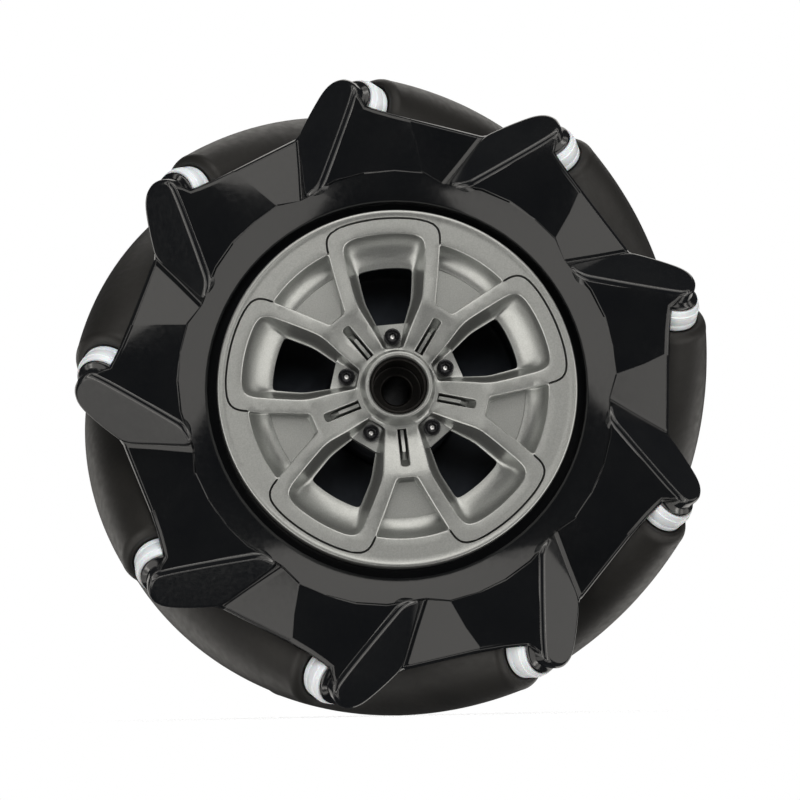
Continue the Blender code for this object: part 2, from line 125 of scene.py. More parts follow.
def twin(obj, name, matrix):
    """Another object with the same mesh and the same bevel."""
    copy = bpy.data.objects.new(name, obj.data)
    copy.matrix_world = matrix
    bpy.context.collection.objects.link(copy)
    for step in obj.modifiers:
        same = copy.modifiers.new(step.name, step.type)
        for key in BEVEL_SETTINGS:
            if hasattr(step, key):
                setattr(same, key, getattr(step, key))
    return copy


def join_rings(bm, rings, closed=False):
    """Quads between rings of vertices; closed also joins the last ring to the first."""
    count = len(rings[0])
    for index in range(len(rings) if closed else len(rings) - 1):
        here, there = rings[index], rings[(index + 1) % len(rings)]
        for j in range(count):
            k = (j + 1) % count
            corners = []
            for vert in (here[j], here[k], there[k], there[j]):
                if vert not in corners:
                    corners.append(vert)
            if len(corners) > 2:
                bm.faces.new(corners)


def round_off(here, before, after, cut, stops):
    """Points on the curve that rounds a corner; cut is how far from the corner it starts."""
    ends = []
    for other in (before, after):
        way = other - here
        ends.append(here + way * min(cut / way.length, 0.5))
    return [ends[0] * (1 - t) ** 2 + here * 2 * t * (1 - t) + ends[1] * t * t for t in stops]


def rounded_profile(points, steps=4):
    """A closed profile of (radius, height, rounding) points with its corners rounded."""
    out = []
    places = [Vector((r, z)) for r, z, _ in points]
    stops = [step / steps for step in range(steps + 1)]
    for index, here in enumerate(places):
        cut = points[index][2]
        after = places[(index + 1) % len(places)]
        out += round_off(here, places[index - 1], after, cut, stops) if cut else [here]
    return out


def soft_loop(corners):
    """A closed outline through (place, rounding) corners, with as many points at every corner."""
    out = []
    stops = [(step + 0.5) / CORNER_STEPS for step in range(CORNER_STEPS)]
    for index, (here, cut) in enumerate(corners):
        after = corners[(index + 1) % len(corners)][0]
        out += round_off(here, corners[index - 1][0], after, cut, stops)
    return out


def widened(loop, by):
    """The outline moved outwards in its plane."""
    count = len(loop)
    area = sum(loop[i - 1].cross(loop[i]) for i in range(count))
    sign = 1 if area > 0 else -1
    out = []
    for i, here in enumerate(loop):
        way = (loop[(i + 1) % count] - loop[i - 1]).normalized()
        out.append(here + Vector((way.y, -way.x)) * by * sign)
    return out


def in_metres(points):
    return [tuple(value * MM for value in point) for point in points]


def lathe(bm, profile, segments, matrix=Matrix()):
    """A closed (radius, height) profile turned around local Z."""
    steps = [2 * math.pi * j / segments for j in range(segments)]
    rings = []
    for r, z in profile:
        ring = [matrix @ Vector((r * math.cos(a), r * math.sin(a), z)) for a in steps]
        rings.append([bm.verts.new(point) for point in ring])
    join_rings(bm, rings, closed=True)


# ---------------------------------------------------------------- materials

NOISE_LOW, NOISE_HIGH = 0.3, 0.7        # the range that nearly all of a noise's values lie in
SOCKET_HIGHLIGHT_RADIUS = (0.45 * MM, 0.75 * MM)    # the painted highlight in a socket's middle fades out between these
# the bright steel colour painted in each socket's middle as a highlight
SOCKET_HIGHLIGHT_COLOUR = (0.85, 0.85, 0.85, 1)


def preset(node, **values):
    """Sets a node's inputs; an underscore in a name stands for a space."""
    for name, value in values.items():
        node.inputs[name.replace("_", " ")].default_value = value


class Surface:
    """A Principled material whose base colour, roughness and relief come from fine noise."""

    def __init__(self, name, metallic=0.0, specular=0.5):
        self.mat = bpy.data.materials.new(name)
        self.mat.use_nodes = True
        self.nodes = self.mat.node_tree.nodes
        self.shader = self.nodes["Principled BSDF"]
        preset(self.shader, Metallic=metallic, Specular_IOR_Level=specular)
        self.place = self.nodes.new("ShaderNodeTexCoord").outputs["Object"]

    def link(self, start, end):
        self.mat.node_tree.links.new(start, end)

    def noise(self, scale, detail=3.0, stretch=(1, 1, 1)):
        """Noise of about scale grains to a metre; stretch scales that number along each axis."""
        shift = self.nodes.new("ShaderNodeMapping")
        preset(shift, Scale=stretch)
        self.link(self.place, shift.inputs["Vector"])
        node = self.nodes.new("ShaderNodeTexNoise")
        preset(node, Scale=scale, Detail=detail)
        self.link(shift.outputs["Vector"], node.inputs["Vector"])
        return node.outputs[0]

    def colours(self, source, dark, light):
        ramp = self.nodes.new("ShaderNodeValToRGB")
        ramp.color_ramp.elements[0].position = NOISE_LOW
        ramp.color_ramp.elements[1].position = NOISE_HIGH
        ramp.color_ramp.elements[0].color = (*dark, 1)
        ramp.color_ramp.elements[1].color = (*light, 1)
        self.link(source, ramp.inputs["Fac"])
        self.link(ramp.outputs["Color"], self.shader.inputs["Base Color"])

    def rough(self, source, low, high):
        span = self.nodes.new("ShaderNodeMapRange")
        preset(span, From_Min=NOISE_LOW, From_Max=NOISE_HIGH, To_Min=low, To_Max=high)
        self.link(source, span.inputs["Value"])
        self.link(span.outputs["Result"], self.shader.inputs["Roughness"])

    def relief(self, source, height, strength=1.0):
        """Bumps of a real height in metres; a second call adds to the first."""
        bump = self.nodes.new("ShaderNodeBump")
        preset(bump, Distance=height, Strength=strength)
        self.link(source, bump.inputs["Height"])
        before = self.shader.inputs["Normal"].links
        if before:
            self.link(before[0].from_socket, bump.inputs["Normal"])
        self.link(bump.outputs["Normal"], self.shader.inputs["Normal"])


def gloss_black():
    """High gloss black moulding: nearly flat, with the faint waviness of a moulded face."""
    s = Surface("gloss_black", specular=0.5)
    s.colours(s.noise(60), (0.0035, 0.0040, 0.0050), (0.0055, 0.0060, 0.0068))
    s.rough(s.noise(700, 4), 0.10, 0.17)
    s.relief(s.noise(45, 1), 0.00012, 0.35)
    s.relief(s.noise(1500, 2), 0.000004, 0.5)
    return s.mat


def satin_silver():
    """Silver paint with fine metal grain."""
    s = Surface("satin_silver", metallic=0.85)
    s.colours(s.noise(2600, 2), (0.36, 0.37, 0.36), (0.45, 0.46, 0.45))
    s.rough(s.noise(900, 3), 0.28, 0.36)
    s.relief(s.noise(3200, 2), 0.000020, 0.55)
    return s.mat


def rubber():
    """Moulded rubber: satin, with a fine grain and faint dusty patches."""
    s = Surface("roller_rubber", specular=0.45)
    s.colours(s.noise(55, 5), (0.0125, 0.0118, 0.0108), (0.0185, 0.0175, 0.0160))
    s.rough(s.noise(420, 4), 0.46, 0.58)
    s.relief(s.noise(2400, 3), 0.000030, 0.6)
    return s.mat


def nylon():
    """White nylon with the faint mottle and grain of a moulded face."""
    s = Surface("white_nylon", specular=0.5)
    preset(s.shader, Subsurface_Weight=0.15, Subsurface_Scale=2.0 * MM)
    s.colours(s.noise(160), (0.84, 0.88, 0.92), (0.90, 0.93, 0.96))
    s.rough(s.noise(500), 0.28, 0.40)
    s.relief(s.noise(900, 2), 0.000015, 0.5)
    return s.mat


def drum_black():
    """Satin black moulding behind the windows."""
    s = Surface("drum_black", specular=0.3)
    s.colours(s.noise(90), (0.018, 0.0195, 0.0235), (0.028, 0.030, 0.035))
    s.rough(s.noise(600), 0.45, 0.60)
    s.relief(s.noise(1800), 0.000025, 0.5)
    return s.mat


def anodised():
    """Black anodised metal with turning marks around the wheel's axle."""
    s = Surface("anodised_black", metallic=0.6, specular=0.4)
    s.colours(s.noise(1200), (0.016, 0.015, 0.014), (0.026, 0.024, 0.022))
    s.rough(s.noise(700), 0.30, 0.42)
    s.relief(s.noise(1600, 2, stretch=(0.2, 1, 0.2)), 0.000012, 0.5)
    return s.mat


def black_steel():
    """Black oxide, with a painted highlight of bright steel colour in the middle of each socket, on
    the screw's own axis.
    """
    s = Surface("screw_black", metallic=0.85)
    s.colours(s.noise(1500), (0.018, 0.018, 0.020), (0.035, 0.035, 0.038))
    flat = s.nodes.new("ShaderNodeVectorMath")
    flat.operation = "MULTIPLY"
    flat.inputs[1].default_value = (1, 1, 0)
    s.link(s.place, flat.inputs[0])
    length = s.nodes.new("ShaderNodeVectorMath")
    length.operation = "LENGTH"
    s.link(flat.outputs["Vector"], length.inputs[0])
    # painted highlight: the socket's middle gets a bright steel colour
    highlight_spot = s.nodes.new("ShaderNodeMapRange")
    preset(highlight_spot, From_Min=SOCKET_HIGHLIGHT_RADIUS[0], From_Max=SOCKET_HIGHLIGHT_RADIUS[1], To_Min=1.0, To_Max=0.0)
    s.link(length.outputs["Value"], highlight_spot.inputs["Value"])
    mix = s.nodes.new("ShaderNodeMix")
    mix.data_type = "RGBA"
    mix.inputs["B"].default_value = SOCKET_HIGHLIGHT_COLOUR
    before = s.shader.inputs["Base Color"].links[0].from_socket
    s.link(highlight_spot.outputs["Result"], mix.inputs["Factor"])
    s.link(before, mix.inputs["A"])
    s.link(mix.outputs["Result"], s.shader.inputs["Base Color"])
    s.rough(s.noise(1100), 0.22, 0.34)
    s.relief(s.noise(2500), 0.000008, 0.5)
    return s.mat


def bright_steel(name, low, high):
    """Ground or polished steel; its roughness varies from low to high."""
    s = Surface(name, metallic=1.0)
    s.colours(s.noise(300), (0.50, 0.50, 0.50), (0.64, 0.64, 0.63))
    s.rough(s.noise(900, 3, stretch=(1, 1, 0.1)), low, high)
    s.relief(s.noise(2200, 2, stretch=(1, 1, 0.08)), 0.000006, 0.5)
    return s.mat


# ---------------------------------------------------------------- rollers

TYRE_HALF = 54.0 * MM
TYRE_BORE = 7.6 * MM
SHOULDER = 50.2 * MM
COLLAR_RADIUS = 9.0 * MM
CORE_HALF = 60.9 * MM
CORE_RADIUS = 7.3 * MM
CORE_BORE = 5.5 * MM
ROLLER_CENTRE = Vector(frame["joints"][0]["pos_m"]).length
WIDEST_CONTACT = math.radians(35.0)     # above the greatest contact angle of a roller
HALVINGS = 40
TREAD_STEPS = 24
DISH = 0.5 * MM                         # how deep a tyre's flat end is dished
COLLAR_START = TYRE_HALF + 0.2 * MM
COLLAR_GROOVE = 0.35 * MM


def barrel_radius(station):
    """A roller's radius at a distance from its middle, so that all rollers make one circle."""
    low, high = 0.0, WIDEST_CONTACT
    for _ in range(HALVINGS):
        contact = (low + high) / 2
        shift = (ROLLER_CENTRE * math.tan(contact) + R * math.sin(contact)) / 2
        if shift * math.sqrt(2) < station:
            low = contact
        else:
            high = contact
    gap = R - shift * math.sin(contact) - ROLLER_CENTRE * math.cos(contact)
    return gap / math.sqrt(1 - math.sin(contact) ** 2 / 2)


def tyre(mat):
    """The rubber barrel: its tread rounds off into flat ends with a shallow dish."""
    stations = [SHOULDER * j / TREAD_STEPS for j in range(TREAD_STEPS + 1)]
    half = [(barrel_radius(station), station) for station in stations]
    edge = half[-1][0]
    side = [
        (edge, SHOULDER, 0), (edge - 0.5 * MM, 52.6 * MM, 2.2 * MM),
        (10.9 * MM, TYRE_HALF, 1.0 * MM), (9.6 * MM, TYRE_HALF, 0), (0, 0, 0),
    ]
    corner = rounded_profile(side, 5)[1:-1]
    dish = [(9.4 * MM, TYRE_HALF - DISH), (TYRE_BORE, TYRE_HALF - DISH)]
    front = half + [tuple(p) for p in corner] + dish
    rear = [(r, -z) for r, z in reversed(front[1:])]
    bm = bmesh.new()
    lathe(bm, rear + front, 96)
    return to_object("tyre", bm, mat, smooth_angle=40)


def core(mat):
    """The white core: a collar with a turned groove and a stepped rim shows at each end."""
    collar = [
        (CORE_RADIUS, COLLAR_START, 0),
        (COLLAR_RADIUS, COLLAR_START, 0.3 * MM),
        (COLLAR_RADIUS, COLLAR_START + 1.5 * MM, 0.1 * MM),
        (COLLAR_RADIUS - COLLAR_GROOVE, COLLAR_START + 1.6 * MM, 0.1 * MM),
        (COLLAR_RADIUS - COLLAR_GROOVE, COLLAR_START + 2.0 * MM, 0.1 * MM),
        (COLLAR_RADIUS, COLLAR_START + 2.1 * MM, 0.1 * MM),
        (COLLAR_RADIUS, COLLAR_START + 4.9 * MM, 0.1 * MM),
        (COLLAR_RADIUS - 0.3 * MM, COLLAR_START + 5.0 * MM, 0.1 * MM),
        (COLLAR_RADIUS - 0.6 * MM, CORE_HALF, 0.4 * MM),
        (CORE_BORE, CORE_HALF, 0.3 * MM),
    ]
    full = [(r, -z, cut) for r, z, cut in reversed(collar)] + collar
    bm = bmesh.new()
    lathe(bm, rounded_profile(full, 2), 72)
    return to_object("core", bm, mat, smooth_angle=40)


def roller_frame(joint):
    """Local Z runs along the joint's axis towards the front and local X points outwards."""
    centre = Vector(joint["pos_m"])
    out = centre.normalized()
    along = Vector(joint["axis"]).normalized()
    side = along.cross(out)
    matrix = Matrix((out, side, along)).transposed().to_4x4()
    matrix.translation = centre
    return matrix


def build_rollers():
    """Nine tyres and nine cores; the CAD's bearings and axles stay. Returns the cores."""
    first_tyre = tyre(rubber())
    first_core = core(nylon())
    race = bright_steel("bearing_steel", 0.12, 0.22)
    pin = bright_steel("axle_steel", 0.20, 0.32)
    cores = []
    for joint in frame["joints"]:
        body = joint["child"]
        number = body.split("_")[1]
        matrix = roller_frame(joint)
        for first, word, slot in (
            (first_tyre, "tyre", "roller_rubber"),
            (first_core, "core", "white_nylon"),
        ):
            piece = twin(first, f"{word}_{number}", Matrix())
            piece.data = first.data.copy()
            piece.data.transform(matrix)
            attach(piece, body)
            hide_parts(f"roller_{word}_{number}")
            if first is first_core:
                cores.append(piece)
        for end in ("front", "rear"):
            dress(f"roller_bearing_{end}_{number}", race)
        dress(f"roller_axle_{number}", pin)
    for first in (first_tyre, first_core):
        bpy.data.objects.remove(first)
    return cores


def dress(node, mat):
    """Gives a CAD node that stays in view its material."""
    mesh = frame["nodes"][node].data
    mesh.materials.clear()
    mesh.materials.append(mat)


# ---------------------------------------------------------------- shells

RING_INNER = 59.4 * MM
RING_EDGE = 0.8 * MM
RING_DEPTH = 45.8 * MM                  # at its inner edge; from there the ring rises outwards
RING_RISE = math.tan(math.radians(23.0))
RING_BACK = 45.2 * MM
SKIRT_OUTER = 62.4 * MM
FLANGE_INNER = 43.0 * MM
FLANGE_FRONT = 38.0 * MM
FLANGE_BACK = 34.0 * MM
LUG_OUTER = 67.0 * MM
LUG_INNER = 61.5 * MM
LUG_EDGE = 1.5 * MM                     # rounding around the lug's outer face
LUG_RIM = 0.2 * MM                      # a flat strip inside that, so the face is shaded flat
LUG_SEAT = LUG_OUTER - 0.5 * MM         # where the shell's skin runs under the lug's face
LUG_TURNS = (0.0, 22.5, 45.0, 67.5, 90.0)    # steps around that rounding, in degrees
LUG_BACK_EDGE = 0.5 * MM
SKIN = 2.2 * MM
GUTTER_SKIN = 3.0 * MM
FIRST_COLUMN = 14.5                     # angle of an arm's first column around the ring
FOOT_GAP = 0.5 * MM                     # between the ring's edge and the facets' feet
CREASE_WIDTH = 1.8 * MM                 # the widest rounding of a crease

# The round neck behind each lug, turned around the roller's axis: radius, distance from the
# roller's middle and rounding, in millimetres.
NECK = (
    (3.2, 61.2, 0), (7.9, 61.2, 0.3), (7.7, 62.1, 0.4), (6.2, 62.9, 0.6), (4.8, 64.2, 1.0),
    (4.0, 65.2, 0.6), (3.2, 65.2, 0),
)

# One arm's columns, from its first crease to the gutter before the next arm: an outer, a middle
# and an inner point, each an angle from the roller's centre, a share of the radius and a depth in
# millimetres. A point marked LUG lies just under the lug's face, square to the roller's axis.
LUG = None
ARM = (
    ((16.5, 0.848, 48.3), (14.4, 0.762, 48.6), (12.5, 0.675, 48.9)),
    ((21.0, 0.860, 50.0), (20.5, 0.770, 49.9), (20.0, 0.677, 49.6)),
    ((24.0, 0.874, 50.7), (25.5, 0.780, 50.6), (28.0, 0.675, 50.1)),
    ((25.5, 0.885, 50.8), (29.6, 0.790, 50.8), (36.0, 0.669, 50.2)),
    ((26.1, 0.910, 50.8), (32.3, 0.790, 50.7), (40.6, 0.660, 50.1)),
    ((26.9, 0.936, 50.6), (32.9, 0.788, LUG), (41.3, 0.658, LUG)),
    ((33.8, 0.915, LUG), (37.0, 0.776, LUG), (44.0, 0.656, LUG)),
    ((40.5, 0.862, LUG), (43.0, 0.758, LUG), (46.5, 0.655, LUG)),
)
CREASES = {0: 0.25, 7: 0.65}             # a column's rounding as a share of the widest

# The lug's outline, square to the roller's axis: how far outwards and sideways, and where a
# corner's rounding starts, all in millimetres.
LUG_OUTLINE = (
    (-30.2, -5.6, 3), (-14.1, -6.1, FREE), (-1.6, -6.1, 4), (4.2, -5.6, FREE),
    (6.6, 0.2, FREE), (5.9, 5.2, FREE), (2.5, 9.0, FREE), (-4.5, 11.2, FREE),
    (-10.5, 12.5, FREE), (-15.4, 13.2, 4), (-25.3, 7.0, FREE), (-36.1, 0.0, 4),
)


def lug_depth(angle, radius, along):
    """Depth where a plane square to the roller's axis passes a place on the wheel."""
    return along / math.cos(TILT) - radius * math.sin(math.radians(angle))


def arm_front(point):
    angle, share, depth = point
    radius = share * R
    if depth is LUG:
        return angle, radius, lug_depth(angle, radius, LUG_SEAT)
    return angle, radius, depth * MM


def arm_back(point):
    angle, radius, depth = arm_front(point)
    return angle, radius, min(depth - SKIN, lug_depth(angle, radius, LUG_INNER))


def ring_depth(radius):
    return RING_DEPTH + RING_RISE * (radius - RING_INNER - RING_EDGE)


def shell_section(index):
    """A column's closed section, from the flange over the ring and the facets and back again."""
    outer, middle, inner = ARM[index]
    even = FIRST_COLUMN + ROLLER_PITCH * index / len(ARM)
    foot = arm_front(inner)
    back = [arm_back(p) for p in (outer, middle)]
    if index == len(ARM) - 1:
        back = [(a, r, d - GUTTER_SKIN) for a, r, d in (arm_front(outer), arm_front(middle))]
    return [
        (even, FLANGE_INNER, FLANGE_FRONT),
        (even, RING_INNER, FLANGE_FRONT),
        (even, RING_INNER, RING_DEPTH - 0.6 * MM),
        (even, RING_INNER + RING_EDGE, RING_DEPTH),
        (foot[0], foot[1] - FOOT_GAP, ring_depth(foot[1])),
        foot,
        arm_front(middle),
        arm_front(outer),
        *back,
        (even, SKIRT_OUTER, RING_BACK),
        (even, SKIRT_OUTER, FLANGE_BACK),
        (even, FLANGE_INNER, FLANGE_BACK),
    ]


STEP_ROWS = {5: 0.16, 7: 1.0, 8: 0.22}   # rows of a section that get a rounding, and its share
FRONT_ROWS = (5, 6, 7)                   # rows on the facets, which a crease runs across


def build_shells():
    """Both shells with their arms' tips. Returns the two shells, and the lugs and necks."""
    mat = gloss_black()
    bm = bmesh.new()
    weight = bm.edges.layers.float.new("bevel_weight_edge")
    columns = []
    for k in range(ROLLERS):
        centre = 270.0 + ROLLER_PITCH * k
        for index in range(len(ARM)):
            section = shell_section(index)
            points = [polar(centre + a, r, d) for a, r, d in section]
            columns.append([bm.verts.new(p) for p in points])
    join_rings(bm, columns, closed=True)
    count = len(columns[0])
    for number, column in enumerate(columns):
        index = number % len(ARM)
        after = columns[(number + 1) % len(columns)]
        for row, share in STEP_ROWS.items():
            bm.edges.get((column[row], after[row]))[weight] = share
        for row in FRONT_ROWS[:-1]:
            edge = bm.edges.get((column[row], column[(row + 1) % count]))
            edge[weight] = CREASES.get(index, 0.0)
    shell = to_object("front_shell_fine", bm, mat, smooth_angle=14)
    step = shell.modifiers.new("rounded_creases", "BEVEL")
    step.width = CREASE_WIDTH
    step.use_clamp_overlap = False
    step.segments = 3
    step.limit_method = "WEIGHT"
    step.harden_normals = True
    rear = twin(shell, "rear_shell_fine", HALF_TURN)
    pieces = [shell, rear]
    for front, rear_name in ((lugs(mat), "rear_lugs"), (necks(mat), "rear_necks")):
        pieces += [front, twin(front, rear_name, HALF_TURN)]
    for piece in pieces:
        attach(piece, BODY)
    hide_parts("front_shell")
    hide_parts("rear_shell")
    return pieces[:2], pieces[2:]


def lugs(mat):
    """The round-nosed blocks at the arms' tips, square to the rollers, which hold the axles."""
    loop = soft_loop([(Vector((u, v)) * MM, cut * MM) for u, v, cut in LUG_OUTLINE])
    levels = [(LUG_BACK_EDGE, LUG_INNER), (0.0, LUG_INNER + LUG_BACK_EDGE)]
    for turn in LUG_TURNS:
        angle = math.radians(turn)
        height = LUG_OUTER - LUG_EDGE * (1 - math.sin(angle))
        levels.append((LUG_EDGE * (1 - math.cos(angle)), height))
    levels.append((LUG_EDGE + LUG_RIM, LUG_OUTER))
    bm = bmesh.new()
    for joint in frame["joints"]:
        matrix = roller_frame(joint)
        rings = []
        for inset, height in levels:
            spots = [Vector((p.x, p.y, height)) for p in widened(loop, -inset)]
            rings.append([bm.verts.new(matrix @ spot) for spot in spots])
        join_rings(bm, rings)
        bm.faces.new(rings[0])
        bm.faces.new(rings[-1])
    return to_object("front_lugs", bm, mat, smooth_angle=25)


def necks(mat):
    """The necks between the lugs and the rollers' collars."""
    bm = bmesh.new()
    profile = rounded_profile(in_metres(NECK), 3)
    for joint in frame["joints"]:
        lathe(bm, profile, 64, roller_frame(joint))
    return to_object("front_necks", bm, mat, smooth_angle=35)


# ---------------------------------------------------------------- cover

COVER_BACK = 38.3 * MM
COVER_FACE = 47.9 * MM
COVER_CREST = 48.6 * MM
COVER_RADIUS = 56.3 * MM
COVER_BORE = 9.0 * MM
COVER_SEGMENTS = 180
CREST_START = 0.44 * R                  # the face starts to rise here, and is highest at the crest
CREST_RADIUS = 27.1 * MM
CREST_SOFTENING = 1.5 * MM
STEM_FALL = 1.15                        # above 1, the stems fall faster towards the hub
FOOT_RADIUS = 11.8 * MM
FOOT_DEPTH = 45.0 * MM
HALF_WIDTH = CAD_BOX[1].y
LIP = 0.55 * MM
VALLEY_DEPTH = 41.5 * MM
PAD_DEPTH = 43.0 * MM
PAD_REACH = 0.2065 * R                  # a window's foot within this radius is the screw's pad
WINDOW_WALL_END = 40.2 * MM
GROOVE_HALF = 0.34 * MM
GROOVE_DEPTH = 2.2 * MM
ON_PATH = 0.1 * MM                      # a point nearer than this to the groove's line is on it
LIP_TURNS = (0.0, 30.0, 60.0, 90.0)
WINDOW_LEVELS, WINDOW_DRIFT, WINDOW_DROP = (0.2, 0.4, 0.6, 0.8, 0.93, 1.0), 1.25, 1.5
VALLEY_LEVELS, VALLEY_DRIFT, VALLEY_DROP = (0.15, 0.3, 0.45, 0.6, 0.75, 0.9, 1.0), 1.3, 1.7
VALLEY_STEP = 0.5 * MM                  # from the end of its wall down to its floor
FREE_GAP = 0.8 * MM                     # free points lie no nearer to an outline or a path
FACE_ROWS = [13.0 * MM + 1.75 * MM * row for row in range(24)]
FACE_GAP = 2.2 * MM                     # between the free points of one such row
SHEET_SCALE = 1000.0                    # triangulation works in millimetres
SAME_PLACE = 1e-6                       # points nearer than this, in millimetres, are one point


def outline(points, centre):
    """A closed smooth outline from (angle, share, cut) corners on the plus side, mirrored.

    cut is how far from a corner, in millimetres, its rounding starts. Every corner gives the same
    number of points, so outlines with as many corners can be joined point by point.
    """
    both = list(points) + [(-a, s, cut) for a, s, cut in reversed(points) if a != 0]
    return soft_loop([(face_spot(centre + a, s), cut * MM) for a, s, cut in both])


WINDOW_TOP = ((0, 0.479, FREE), (6.5, 0.479, FREE), (12.6, 0.478, 3.0), (16.1, 0.462, 3.6),
              (18.2, 0.370, FREE), (20.8, 0.282, 3.0), (17.4, 0.200, FREE), (12.6, 0.130, 0.8))
WINDOW_FOOT = ((0, 0.385, FREE), (6.0, 0.385, FREE), (10.9, 0.385, 1.5), (12.9, 0.381, 1.0),
               (13.6, 0.335, FREE), (14.4, 0.287, 2.0), (11.6, 0.206, 0.2), (9.6, 0.131, 0.8))
VALLEY_TOP = ((0, 0.464, FREE), (7.0, 0.464, FREE), (13.9, 0.463, 1.0), (10.8, 0.375, FREE),
              (5.9, 0.281, 1.2))
VALLEY_FOOT = ((0, 0.400, FREE), (6.6, 0.400, FREE), (12.7, 0.400, 0.6), (10.3, 0.350, FREE),
               (5.3, 0.288, 0.8))
SLOT_SIDE = 1.45 * MM
SLOT_REACH = (12.9 * MM, 24.9 * MM)
SLOT_DEPTH = 4.0 * MM
SLOT_BULGE = 0.45                       # the round end's length as a share of its half width
RIB_SIDE = 0.5 * MM
RIB_REACH = (SLOT_REACH[0] + 0.3 * MM, 20.2 * MM)
LOOP_GROOVE = (
    (21.7, 0.470), (21.0, 0.492), (19.6, 0.512), (17.0, 0.524), (12.0, 0.528), (6.0, 0.528),
    (0, 0.528),
)


def slot_outline(centre, side, reach):
    """A long slot along a stem, with a round outer end."""
    turn = Matrix.Rotation(math.radians(centre), 2)
    inner, outer = reach
    half_way = blend(inner, outer, 0.5)
    points = [Vector((inner, -side)), Vector((half_way, -side))]
    for step in range(9):
        angle = math.radians(-90 + 22.5 * step)
        bulge = SLOT_BULGE * side * math.cos(angle)
        points.append(Vector((outer - SLOT_BULGE * side + bulge, side * math.sin(angle))))
    points += [Vector((half_way, side)), Vector((inner, side))]
    return [turn @ p for p in points]


def face_depth(spot):
    """Depth of the cover's face: flat outside, a soft crest, then stems that fall to the hub."""
    radius = spot.length
    climb = ease((CREST_START - radius) / (CREST_START - CREST_RADIUS))
    rise = blend(COVER_FACE, COVER_CREST, climb)
    share = (CREST_RADIUS + CREST_SOFTENING - radius) / (CREST_RADIUS - FOOT_RADIUS)
    fall = (COVER_CREST - FOOT_DEPTH) * max(share, 0.0) ** STEM_FALL
    return rise - fall


def groove_paths():
    """The middle line of the thin groove over each window, mirrored and smoothed."""
    paths = []
    whole = LOOP_GROOVE + tuple((-a, s) for a, s in reversed(LOOP_GROOVE[:-1]))
    for k in range(SPOKES):
        centre = WINDOW_ANGLE + SPOKE_PITCH * k
        spots = [face_spot(centre + angle, share) for angle, share in whole]
        smooth = [spots[0]]
        for a, b in zip(spots, spots[1:]):
            smooth += [a.lerp(b, 0.25), a.lerp(b, 0.75)]
        smooth.append(spots[-1])
        paths.append(smooth)
    return paths


def beside(path, by):
    """An open path moved sideways."""
    out = []
    for i, here in enumerate(path):
        ahead = path[min(i + 1, len(path) - 1)]
        behind = path[max(i - 1, 0)]
        way = (ahead - behind).normalized()
        out.append(here + Vector((way.y, -way.x)) * by)
    return out


def inside(points, loop):
    """Which of the points lie inside a closed outline."""
    ring = np.array([tuple(p) for p in loop])
    after = np.roll(ring, -1, 0)
    px, py = points[:, 0][:, None], points[:, 1][:, None]
    above = (ring[:, 1] > py) != (after[:, 1] > py)
    rise = np.where(after[:, 1] == ring[:, 1], 1e-12, after[:, 1] - ring[:, 1])
    cross = ring[:, 0] + (py - ring[:, 1]) * (after[:, 0] - ring[:, 0]) / rise
    return ((above & (px < cross)).sum(1) % 2) == 1


def sheet(bm, loops, holes, extra, depth_at, grid):
    """Triangulates the region inside the first loop and outside all others.

    loops holds (outline, vertices) pairs, extra holds open paths, and grid holds free points,
    which are dropped inside holes and close to an outline or path.
    """
    spots, edges, owner = [], [], []
    for loop, verts in loops:
        base = len(spots)
        spots += list(loop)
        owner += list(verts)
        edges += [(base + i, base + (i + 1) % len(loop)) for i in range(len(loop))]
    rim = np.array([tuple(p) for p in spots])
    for path in extra:
        base = len(spots)
        spots += list(path)
        owner += [None] * len(path)
        edges += [(base + i, base + i + 1) for i in range(len(path) - 1)]
    taken = np.array([tuple(p) for p in spots])
    free = np.array([tuple(p) for p in grid])
    if len(free):
        near = np.linalg.norm(free[:, None] - taken[None], axis=2).min(1)
        keep = near > FREE_GAP
        for hole in holes:
            keep &= ~inside(free, hole)
        spots += [Vector(p) for p in free[keep]]
        owner += [None] * int(keep.sum())
    made = delaunay_2d_cdt([p * SHEET_SCALE for p in spots], edges, [], 0, SAME_PLACE)
    coords, faces, origins = made[0], made[2], made[3]
    verts = []
    for spot, came in zip(coords, origins):
        known = [owner[i] for i in came if owner[i] is not None]
        flat = Vector(spot) / SHEET_SCALE
        verts.append(known[0] if known else bm.verts.new((flat.x, -depth_at(flat), flat.y)))
    middles = np.array([np.mean([tuple(coords[i]) for i in f], axis=0) for f in faces])
    middles /= SHEET_SCALE
    radius = np.linalg.norm(middles, axis=1)
    keep = (radius < np.linalg.norm(rim, axis=1).max()) & inside(middles, loops[0][0])
    for loop, _ in loops[1:]:
        keep &= ~inside(middles, loop)
    for face, wanted in zip(faces, keep):
        corners = [verts[i] for i in face]
        if wanted and len(set(corners)) == 3:
            bm.faces.new(corners)


def ring_of(bm, loop, depth):
    """Vertices over an outline; depth is one value or a function of the place."""
    level = depth if callable(depth) else lambda spot: depth
    return [bm.verts.new((p.x, -level(p), p.y)) for p in loop]


def circle(radius, count):
    steps = [2 * math.pi * j / count for j in range(count)]
    return [Vector((radius * math.cos(a), radius * math.sin(a))) for a in steps]


def lip_rings(bm, loop, depth_at):
    """The rounded edge where the face turns down into a hole."""
    rings = []
    for turn in LIP_TURNS:
        angle = math.radians(turn)
        wide = widened(loop, LIP * (1 - math.sin(angle)))
        drop = LIP * (1 - math.cos(angle))
        rings.append(ring_of(bm, wide, lambda p, drop=drop: depth_at(p) - drop))
    return widened(loop, LIP), rings


def wall_rings(bm, top, foot, levels, drift, drop, end_at):
    """Rings down a hole's curved wall, from under its lip to its foot.

    levels run from 0 at the lip to 1 at the foot. Powers above 1 make the wall drift sideways late
    and drop early, and end_at gives the depth of each place of the foot.
    """
    walls = []
    for level in levels:
        ring = []
        for a, b in zip(top, foot):
            spot = a.lerp(b, level ** drift)
            depth = blend(face_depth(a) - LIP, end_at(b), 1 - (1 - level) ** drop)
            ring.append(bm.verts.new((spot.x, -depth, spot.y)))
        walls.append(ring)
    return walls


